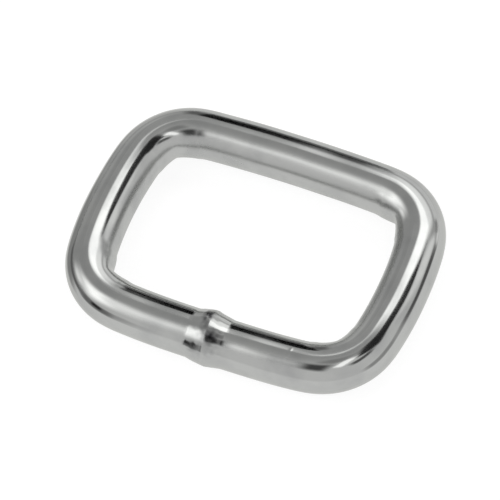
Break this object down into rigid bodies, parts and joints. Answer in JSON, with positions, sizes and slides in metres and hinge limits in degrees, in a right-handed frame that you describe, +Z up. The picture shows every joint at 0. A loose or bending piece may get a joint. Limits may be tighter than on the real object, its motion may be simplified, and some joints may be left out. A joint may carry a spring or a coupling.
{
  "type": "welded square ring",
  "caption": "Rectangular ring of round steel wire with rounded corners and a butt weld in one long side, for joining, turning or tensioning straps.",
  "frame": {"origin": "middle of the opening, on the surface that the ring lies on", "axes": "+X along the long sides, +Y from the welded long side to the plain one, +Z up through the opening"},
  "size_m": [0.0362, 0.0275, 0.0056],
  "materials": {
    "nickel_plate": "bright nickel plate on drawn steel wire, slightly dulled, with faint draw lines along the wire"
  },
  "bodies": {
    "root": {"wire_ring": "nickel_plate"}
  },
  "joints": []
}
